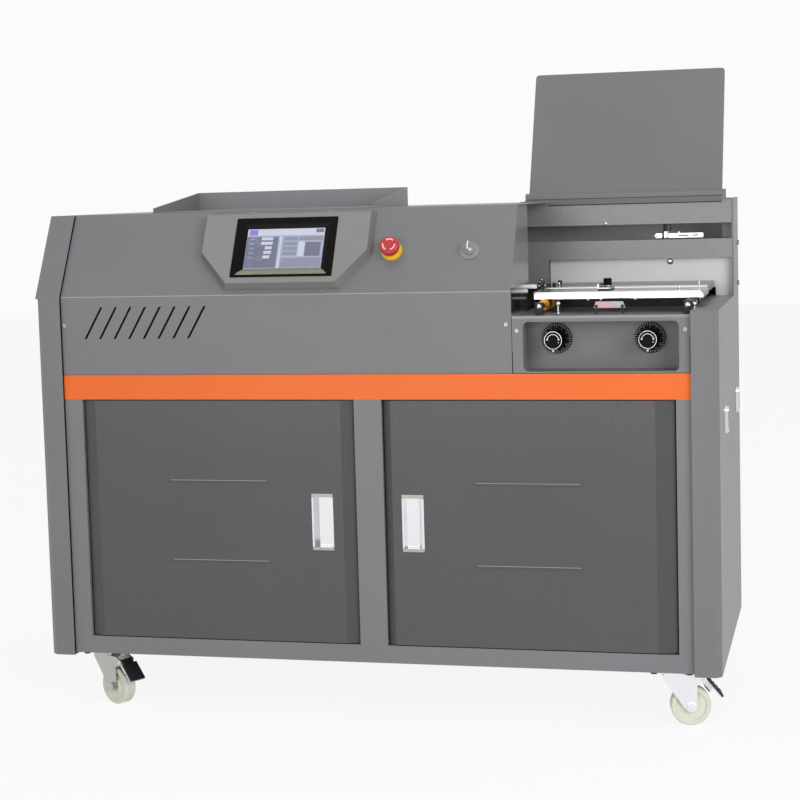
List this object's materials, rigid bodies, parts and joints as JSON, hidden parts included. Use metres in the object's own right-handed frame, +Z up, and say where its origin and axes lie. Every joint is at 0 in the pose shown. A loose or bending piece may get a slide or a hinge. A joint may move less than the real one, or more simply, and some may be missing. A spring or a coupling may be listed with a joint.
{
  "type": "perfect binding machine",
  "caption": "Floor-standing perfect binding machine on castors: two cupboard doors, sloped hood with touch screen, open nipping bay with raised lid, clamp carriage, glue and milling units.",
  "frame": {"origin": "on the floor under the centre of the machine's bounding box", "axes": "+X to the viewer's right along the front, +Y to the rear, +Z up"},
  "size_m": [1.337, 0.588, 1.2457],
  "materials": {
    "body_grey": "satin powder coat",
    "frame_grey": "satin powder coat",
    "deck_grey": "satin powder coat",
    "orange": "satin powder coat",
    "door_grey": "hammered powder coat",
    "pull_chrome": "polished",
    "liner_grey": "gloss paint",
    "housing_grey": "fine texture",
    "screen_black": "glossy",
    "stop_yellow": "glossy",
    "stop_red": "glossy",
    "stem_black": "matte",
    "switch_grey": "matte",
    "key_white": "matte",
    "dial_black": "matte",
    "knob_black": "satin",
    "table_steel": "polished",
    "nip_steel": "ground and polished",
    "nip_black": "matte",
    "brass": "machined",
    "beam_grey": "satin powder coat",
    "rod_steel": "ground",
    "motor_black": "satin",
    "clamp_metal": "machined",
    "tank_metal": "machined",
    "cutter_steel": "ground",
    "box_grey": "satin",
    "zinc": "bright zinc",
    "nylon": "smooth",
    "pedal_black": "matte",
    "lever_chrome": "polished"
  },
  "bodies": {
    "cabinet": {"frame": "frame_grey", "decks": "deck_grey", "accent_band": "orange", "back_panel": "body_grey", "left_side_cover": "body_grey", "right_side_cover": "body_grey", "side_pulls": "pull_chrome", "front_cover": "body_grey", "hood_top": "body_grey", "bay_liner": "liner_grey", "feed_tray": "body_grey", "display_housing": "housing_grey", "touch_screen": "screen_black", "stop_collar": "stop_yellow", "key_switch": "switch_grey", "dial_panel": "body_grey", "dial_scales": "dial_black", "work_table": "table_steel", "nip_base": "nip_black", "nip_rear_plate": "nip_steel", "rear_beams": "beam_grey", "end_plate": "body_grey", "guide_rods": "rod_steel", "motors": "motor_black", "glue_tank": "tank_metal", "control_box": "box_grey", "lid_hinge": "body_grey", "lever_post": "nip_black", "castor_plates": "zinc", "panel_screws": "pull_chrome"},
    "left_door": {"left_door": "door_grey", "left_pull": "pull_chrome"},
    "right_door": {"right_door": "door_grey", "right_pull": "pull_chrome"},
    "lid": {"lid": "body_grey"},
    "stop_stem": {"stop_stem": "stem_black"},
    "stop_head": {"stop_head": "stop_red"},
    "key": {"key": "key_white"},
    "dial_left": {"dial_knob_left": "knob_black"},
    "dial_right": {"dial_knob_right": "knob_black"},
    "nip_front": {"nip_front_plate": "nip_steel", "nip_bushes": "brass"},
    "side_guide": {"side_guide": "nip_black"},
    "guide_knob": {"guide_knob": "knob_black"},
    "stop_lever": {"stop_lever": "lever_chrome"},
    "clamp_carriage": {"clamp_carriage": "clamp_metal"},
    "clamp_jaw": {"clamp_jaw": "clamp_metal"},
    "drive_screw": {"drive_screw": "rod_steel"},
    "glue_roller": {"glue_roller": "cutter_steel"},
    "mill_cutter": {"mill_cutter": "cutter_steel"},
    "fork_fl": {"fork_fl": "zinc"},
    "wheel_fl": {"wheel_fl": "nylon"},
    "pedal_fl": {"pedal_fl": "pedal_black"},
    "fork_fr": {"fork_fr": "zinc"},
    "wheel_fr": {"wheel_fr": "nylon"},
    "pedal_fr": {"pedal_fr": "pedal_black"},
    "fork_rl": {"fork_rl": "zinc"},
    "wheel_rl": {"wheel_rl": "nylon"},
    "fork_rr": {"fork_rr": "zinc"},
    "wheel_rr": {"wheel_rr": "nylon"}
  },
  "joints": [
    {"name": "left_door_hinge", "type": "hinge", "parent": "cabinet", "child": "left_door", "pos_m": [-0.553, -0.276, 0.38], "axis": [0, 0, -1], "range_deg": [0, 110]},
    {"name": "right_door_hinge", "type": "hinge", "parent": "cabinet", "child": "right_door", "pos_m": [0.5615, -0.276, 0.38], "axis": [0, 0, 1], "range_deg": [0, 110]},
    {"name": "lid_hinge", "type": "hinge", "parent": "cabinet", "child": "lid", "pos_m": [0.4425, 0.164, 0.988], "axis": [1, 0, 0], "range_deg": [0, 114]},
    {"name": "stop_press", "type": "slide", "parent": "cabinet", "child": "stop_stem", "axis": [0, 0.866, -0.5], "range_m": [0, 0.004], "stiffness_N_per_m": 1500},
    {"name": "stop_twist", "type": "hinge", "parent": "stop_stem", "child": "stop_head", "pos_m": [0.049, -0.25164, 0.90251], "axis": [0, -0.866, 0.5], "range_deg": [0, 45], "stiffness_Nm_per_rad": 0.3},
    {"name": "key_turn", "type": "hinge", "parent": "cabinet", "child": "key", "pos_m": [0.2, -0.24683, 0.89684], "axis": [0, 0.866, -0.5], "range_deg": [0, 90]},
    {"name": "dial_left_turn", "type": "hinge", "parent": "cabinet", "child": "dial_left", "pos_m": [0.36, -0.236, 0.727], "axis": [0, 1, 0], "range_deg": [0, 300]},
    {"name": "dial_right_turn", "type": "hinge", "parent": "cabinet", "child": "dial_right", "pos_m": [0.534, -0.236, 0.727], "axis": [0, 1, 0], "range_deg": [0, 300]},
    {"name": "nip_slide", "type": "slide", "parent": "cabinet", "child": "nip_front", "axis": [0, 1, 0], "range_m": [-0.045, 0.024]},
    {"name": "guide_slide", "type": "slide", "parent": "nip_front", "child": "side_guide", "axis": [1, 0, 0], "range_m": [-0.065, 0.11]},
    {"name": "guide_knob_turn", "type": "hinge", "parent": "side_guide", "child": "guide_knob", "pos_m": [0.437, -0.083, 0.82], "axis": [0, 0, 1], "continuous": true},
    {"name": "stop_lever_turn", "type": "hinge", "parent": "cabinet", "child": "stop_lever", "pos_m": [0.525, 0.162, 0.904], "axis": [0, 0, -1], "range_deg": [0, 80]},
    {"name": "carriage_slide", "type": "slide", "parent": "cabinet", "child": "clamp_carriage", "axis": [1, 0, 0], "range_m": [0, 0.76]},
    {"name": "jaw_slide", "type": "slide", "parent": "clamp_carriage", "child": "clamp_jaw", "axis": [0, 1, 0], "range_m": [0, 0.033]},
    {"name": "screw_turn", "type": "hinge", "parent": "cabinet", "child": "drive_screw", "pos_m": [0, 0.228, 0.88], "axis": [1, 0, 0], "continuous": true},
    {"name": "roller_turn", "type": "hinge", "parent": "cabinet", "child": "glue_roller", "pos_m": [0.13, -0.048, 0.784], "axis": [0, 1, 0], "continuous": true},
    {"name": "mill_turn", "type": "hinge", "parent": "cabinet", "child": "mill_cutter", "pos_m": [-0.06, -0.048, 0.8], "axis": [0, 0, 1], "continuous": true},
    {"name": "swivel_fl", "type": "hinge", "parent": "cabinet", "child": "fork_fl", "pos_m": [-0.5675, -0.236, 0.103], "axis": [0, 0, 1], "continuous": true},
    {"name": "roll_fl", "type": "hinge", "parent": "fork_fl", "child": "wheel_fl", "pos_m": [-0.53899, -0.25053, 0.0375], "axis": [0.454, 0.891, 0], "continuous": true},
    {"name": "brake_fl", "type": "hinge", "parent": "fork_fl", "child": "pedal_fl", "pos_m": [-0.51939, -0.26051, 0.088], "axis": [0.454, 0.891, 0], "range_deg": [0, 10]},
    {"name": "swivel_fr", "type": "hinge", "parent": "cabinet", "child": "fork_fr", "pos_m": [0.5675, -0.236, 0.103], "axis": [0, 0, 1], "continuous": true},
    {"name": "roll_fr", "type": "hinge", "parent": "fork_fr", "child": "wheel_fr", "pos_m": [0.5988, -0.22935, 0.0375], "axis": [-0.2079, 0.9781, 0], "continuous": true},
    {"name": "brake_fr", "type": "hinge", "parent": "fork_fr", "child": "pedal_fr", "pos_m": [0.62032, -0.22477, 0.088], "axis": [-0.2079, 0.9781, 0], "range_deg": [0, 10]},
    {"name": "swivel_rl", "type": "hinge", "parent": "cabinet", "child": "fork_rl", "pos_m": [-0.5675, 0.236, 0.103], "axis": [0, 0, 1], "continuous": true},
    {"name": "roll_rl", "type": "hinge", "parent": "fork_rl", "child": "wheel_rl", "pos_m": [-0.5385, 0.24952, 0.0375], "axis": [-0.4226, 0.9063, 0], "continuous": true},
    {"name": "swivel_rr", "type": "hinge", "parent": "cabinet", "child": "fork_rr", "pos_m": [0.5675, 0.236, 0.103], "axis": [0, 0, 1], "continuous": true},
    {"name": "roll_rr", "type": "hinge", "parent": "fork_rr", "child": "wheel_rr", "pos_m": [0.5385, 0.24952, 0.0375], "axis": [-0.4226, -0.9063, 0], "continuous": true}
  ],
  "couplings": [
    {"joint": "screw_turn", "follows": "carriage_slide", "rad_per_m": 157.08}
  ]
}
